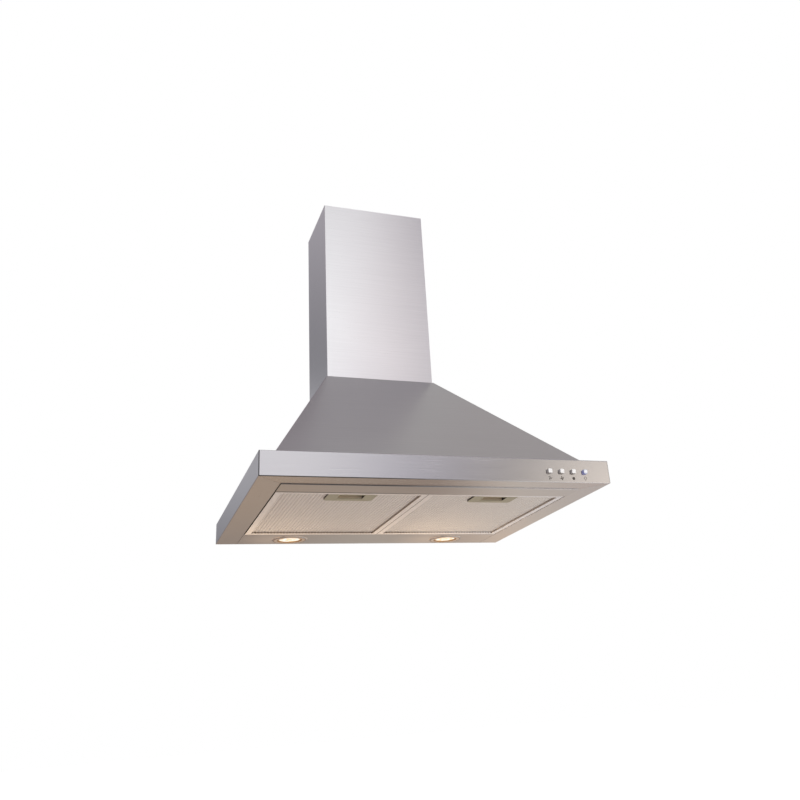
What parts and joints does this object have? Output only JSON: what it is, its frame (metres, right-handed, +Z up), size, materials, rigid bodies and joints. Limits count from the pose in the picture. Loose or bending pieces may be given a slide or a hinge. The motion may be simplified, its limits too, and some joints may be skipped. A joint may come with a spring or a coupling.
{
  "type": "canopy range hood",
  "caption": "Wall-mounted stainless canopy range hood with a pyramid body, telescopic flue, push buttons, lift-out mesh grease filters, lamps and a centrifugal fan inside.",
  "frame": {"origin": "on the wall plane, at the middle of the lip's lower back edge", "axes": "+X along the wall to the viewer's right, +Y into the wall, +Z up; the buttons face -Y"},
  "size_m": [0.6, 0.505, 0.7095],
  "materials": {
    "stainless": "fine horizontal brushing",
    "galvanised": "dull zinc coating",
    "filter_aluminium": "satin, bright edges",
    "filter_mesh": "expanded mesh in layers",
    "handle_plastic": "fine moulded grain",
    "bezel_chrome": "polished",
    "lens_glass": "frosted",
    "lamp_can": "spun, dull",
    "button": "satin silver cap",
    "black_plastic": "fine moulded grain",
    "fan_plastic": "fine moulded grain",
    "motor": "satin",
    "steel": "turned",
    "rubber": "matt",
    "box_plastic": "fine moulded grain",
    "lead": "smooth sheath"
  },
  "bodies": {
    "hood": {"lip_front": "stainless", "lip_left": "stainless", "lip_right": "stainless", "canopy_front_panel": "stainless", "canopy_left_panel": "stainless", "canopy_right_panel": "stainless", "flue_lower": "stainless", "front_rail": "stainless", "light_panel": "stainless", "back_panel": "galvanised", "top_plate": "galvanised", "motor_bracket": "galvanised", "lamp_bezel_left": "bezel_chrome", "lamp_bezel_right": "bezel_chrome", "lamp_lens_left": "lens_glass", "lamp_lens_right": "lens_glass", "lamp_bulb_left": "lens_glass", "lamp_bulb_right": "lens_glass", "lamp_can_left": "lamp_can", "lamp_can_right": "lamp_can", "switch_bank": "black_plastic", "outlet_collar": "black_plastic", "cable_gland": "black_plastic", "scroll_left": "fan_plastic", "scroll_right": "fan_plastic", "motor": "motor", "damper_pin": "steel", "motor_screws": "steel", "collar_screws": "steel", "motor_grommets": "rubber", "control_box": "box_plastic", "control_cover": "box_plastic", "lamp_transformer": "box_plastic", "capacitor": "box_plastic", "lamp_leads": "lead", "transformer_lead": "lead", "switch_cable": "lead", "motor_lead": "lead"},
    "button_fan_low": {"button_fan_low": "button"},
    "button_fan_medium": {"button_fan_medium": "button"},
    "button_fan_high": {"button_fan_high": "button"},
    "button_light": {"button_light": "button"},
    "filter_left": {"filter_frame_left": "filter_aluminium", "filter_mesh_left": "filter_mesh", "filter_handle_left": "handle_plastic"},
    "filter_right": {"filter_frame_right": "filter_aluminium", "filter_mesh_right": "filter_mesh", "filter_handle_right": "handle_plastic"},
    "latch_left": {"filter_latch_left": "handle_plastic"},
    "latch_right": {"filter_latch_right": "handle_plastic"},
    "flap_front": {"flap_front": "black_plastic"},
    "flap_back": {"flap_back": "black_plastic"},
    "impeller": {"impeller": "fan_plastic", "motor_shaft": "steel"},
    "flue_upper": {"flue_upper": "stainless", "flue_bracket": "galvanised"}
  },
  "joints": [
    {"name": "press_fan_low", "type": "slide", "parent": "hood", "child": "button_fan_low", "axis": [0, 1, 0], "range_m": [0, 0.002], "stiffness_N_per_m": 300},
    {"name": "press_fan_medium", "type": "slide", "parent": "hood", "child": "button_fan_medium", "axis": [0, 1, 0], "range_m": [0, 0.002], "stiffness_N_per_m": 300},
    {"name": "press_fan_high", "type": "slide", "parent": "hood", "child": "button_fan_high", "axis": [0, 1, 0], "range_m": [0, 0.002], "stiffness_N_per_m": 300},
    {"name": "press_light", "type": "slide", "parent": "hood", "child": "button_light", "axis": [0, 1, 0], "range_m": [0, 0.002], "stiffness_N_per_m": 300},
    {"name": "filter_left_swing", "type": "hinge", "parent": "hood", "child": "filter_left", "pos_m": [-0.12905, -0.0885, 0], "axis": [1, 0, 0], "range_deg": [0, 60]},
    {"name": "latch_left_slide", "type": "slide", "parent": "filter_left", "child": "latch_left", "axis": [0, -1, 0], "range_m": [0, 0.005], "stiffness_N_per_m": 150, "springref_m": 0.005},
    {"name": "filter_right_swing", "type": "hinge", "parent": "hood", "child": "filter_right", "pos_m": [0.12905, -0.0885, 0], "axis": [1, 0, 0], "range_deg": [0, 60]},
    {"name": "latch_right_slide", "type": "slide", "parent": "filter_right", "child": "latch_right", "axis": [0, -1, 0], "range_m": [0, 0.005], "stiffness_N_per_m": 150, "springref_m": 0.005},
    {"name": "flap_front_swing", "type": "hinge", "parent": "hood", "child": "flap_front", "pos_m": [0, -0.0825, 0.317], "axis": [-1, 0, 0], "range_deg": [0, 75]},
    {"name": "flap_back_swing", "type": "hinge", "parent": "hood", "child": "flap_back", "pos_m": [0, -0.0825, 0.317], "axis": [1, 0, 0], "range_deg": [0, 75]},
    {"name": "impeller_spin", "type": "hinge", "parent": "hood", "child": "impeller", "pos_m": [0, -0.1485, 0.165], "axis": [1, 0, 0], "continuous": true},
    {"name": "flue_raise", "type": "slide", "parent": "hood", "child": "flue_upper", "axis": [0, 0, 1], "range_m": [0, 0.33]}
  ]
}
